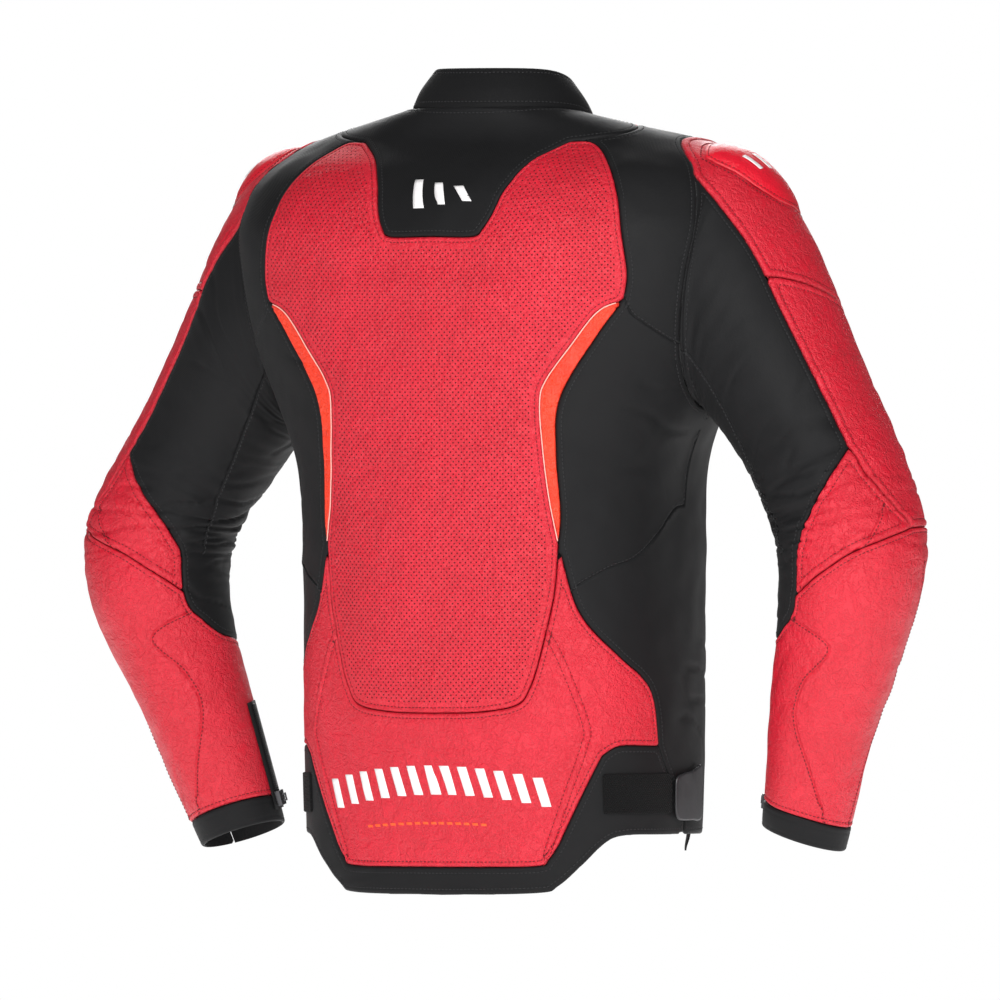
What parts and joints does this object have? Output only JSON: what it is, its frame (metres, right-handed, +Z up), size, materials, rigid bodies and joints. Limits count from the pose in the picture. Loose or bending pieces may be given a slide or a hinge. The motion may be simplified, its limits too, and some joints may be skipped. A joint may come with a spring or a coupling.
{
  "type": "leather riding jacket",
  "caption": "Armoured riding jacket of sewn leather and stretch panels, with pre-curved sleeves, elbow joints, sliding zips, zip pulls and waist adjusters.",
  "frame": {"origin": "middle of the neck opening at the height of the collar seam behind the neck", "axes": "+Z up, the wearer faces -Y, and the wearer's left is +X"},
  "size_m": [0.805, 0.2726, 0.711],
  "materials": {
    "leather_red": "fine pebbled grain, satin",
    "stretch_black": "smooth stretch weave, matt",
    "leather_orange": "smooth, satin",
    "lining_black": "mesh, matt",
    "armour_foam": "moulded foam, matt",
    "tab_rubber": "matt",
    "loop_fastener": "fuzzy loop pile",
    "cup_red": "satin moulded cup",
    "zip_tape_black": "woven tape, matt",
    "zip_teeth_black": "moulded teeth",
    "zip_metal": "dark plated, satin"
  },
  "bodies": {
    "jacket": {"back_perforated_panel": "leather_red", "back_lower_panel": "leather_red", "back_yoke": "stretch_black", "tail_panel": "stretch_black", "collar_shell": "stretch_black", "collar_facing": "lining_black", "body_lining": "lining_black", "back_protector": "armour_foam", "hanger_loop": "stretch_black", "front_zip_tape": "zip_tape_black", "front_zip_teeth": "zip_teeth_black", "accent_strip_left": "leather_orange", "accent_strip_right": "leather_orange", "front_chest_panel_left": "leather_red", "front_chest_panel_right": "leather_red", "front_lower_panel_left": "leather_red", "front_lower_panel_right": "leather_red", "side_stretch_panel_left": "stretch_black", "side_stretch_panel_right": "stretch_black", "pocket_zip_left": "zip_tape_black", "pocket_zip_right": "zip_tape_black", "waist_loop_patch_left": "loop_fastener", "waist_loop_patch_right": "loop_fastener", "shoulder_panel_left": "leather_red", "shoulder_panel_right": "leather_red", "outer_arm_panel_left": "leather_red", "outer_arm_panel_right": "leather_red", "under_arm_stretch_panel_left": "stretch_black", "under_arm_stretch_panel_right": "stretch_black", "sleeve_lining_upper_left": "lining_black", "sleeve_lining_upper_right": "lining_black", "shoulder_armour_left": "armour_foam", "shoulder_armour_right": "armour_foam", "shoulder_cup_left": "cup_red", "shoulder_cup_right": "cup_red"},
    "front_slider": {"front_zip_slider": "zip_metal"},
    "front_pull": {"front_zip_pull": "zip_metal"},
    "forearm_left": {"elbow_panel_left": "leather_red", "elbow_stretch_gusset_left": "stretch_black", "forearm_panel_left": "leather_red", "cuff_band_left": "stretch_black", "sleeve_lining_lower_left": "lining_black", "elbow_armour_left": "armour_foam", "cuff_zip_left": "zip_tape_black"},
    "cuff_slider_left": {"cuff_zip_slider_left": "zip_metal"},
    "pocket_slider_left": {"pocket_zip_slider_left": "zip_metal"},
    "pocket_pull_left": {"pocket_zip_pull_left": "zip_metal"},
    "waist_tab_left": {"waist_tab_left": "tab_rubber"},
    "forearm_right": {"elbow_panel_right": "leather_red", "elbow_stretch_gusset_right": "stretch_black", "forearm_panel_right": "leather_red", "cuff_band_right": "stretch_black", "sleeve_lining_lower_right": "lining_black", "elbow_armour_right": "armour_foam", "cuff_zip_right": "zip_tape_black"},
    "cuff_slider_right": {"cuff_zip_slider_right": "zip_metal"},
    "pocket_slider_right": {"pocket_zip_slider_right": "zip_metal"},
    "pocket_pull_right": {"pocket_zip_pull_right": "zip_metal"},
    "waist_tab_right": {"waist_tab_right": "tab_rubber"}
  },
  "joints": [
    {"name": "front_zip", "type": "hinge", "parent": "jacket", "child": "front_slider", "pos_m": [0, 1.11807, -0.42671], "axis": [1, 0, 0], "range_deg": [0, 26]},
    {"name": "front_pull", "type": "hinge", "parent": "front_slider", "child": "front_pull", "pos_m": [0, -0.06914, -0.01708], "axis": [-1, 0, 0], "range_deg": [0, 90]},
    {"name": "elbow_left", "type": "hinge", "parent": "jacket", "child": "forearm_left", "pos_m": [0.337, 0.003, -0.388], "axis": [-0.96, 0, 0.28], "range_deg": [-8, 60]},
    {"name": "cuff_zip_left", "type": "slide", "parent": "forearm_left", "child": "cuff_slider_left", "axis": [0.1939, 0.1869, 0.963], "range_m": [0, 0.078]},
    {"name": "pocket_zip_left", "type": "slide", "parent": "jacket", "child": "pocket_slider_left", "axis": [-0.0005, 0.0322, -0.9995], "range_m": [0, 0.096]},
    {"name": "pocket_pull_left", "type": "hinge", "parent": "pocket_slider_left", "child": "pocket_pull_left", "pos_m": [0.09492, -0.12828, -0.42616], "axis": [-0.9455, -0.3254, -0.01], "range_deg": [0, 90]},
    {"name": "waist_adjust_left", "type": "slide", "parent": "jacket", "child": "waist_tab_left", "axis": [-0.03, 0.9995, 0], "range_m": [0, 0.025]},
    {"name": "elbow_right", "type": "hinge", "parent": "jacket", "child": "forearm_right", "pos_m": [-0.337, 0.003, -0.388], "axis": [-0.96, 0, -0.28], "range_deg": [-8, 60]},
    {"name": "cuff_zip_right", "type": "slide", "parent": "forearm_right", "child": "cuff_slider_right", "axis": [-0.1939, 0.1869, 0.963], "range_m": [0, 0.078]},
    {"name": "pocket_zip_right", "type": "slide", "parent": "jacket", "child": "pocket_slider_right", "axis": [0.0005, 0.0322, -0.9995], "range_m": [0, 0.096]},
    {"name": "pocket_pull_right", "type": "hinge", "parent": "pocket_slider_right", "child": "pocket_pull_right", "pos_m": [-0.09492, -0.12828, -0.42616], "axis": [-0.9455, 0.3254, 0.01], "range_deg": [0, 90]},
    {"name": "waist_adjust_right", "type": "slide", "parent": "jacket", "child": "waist_tab_right", "axis": [0.03, 0.9995, 0], "range_m": [0, 0.025]}
  ]
}
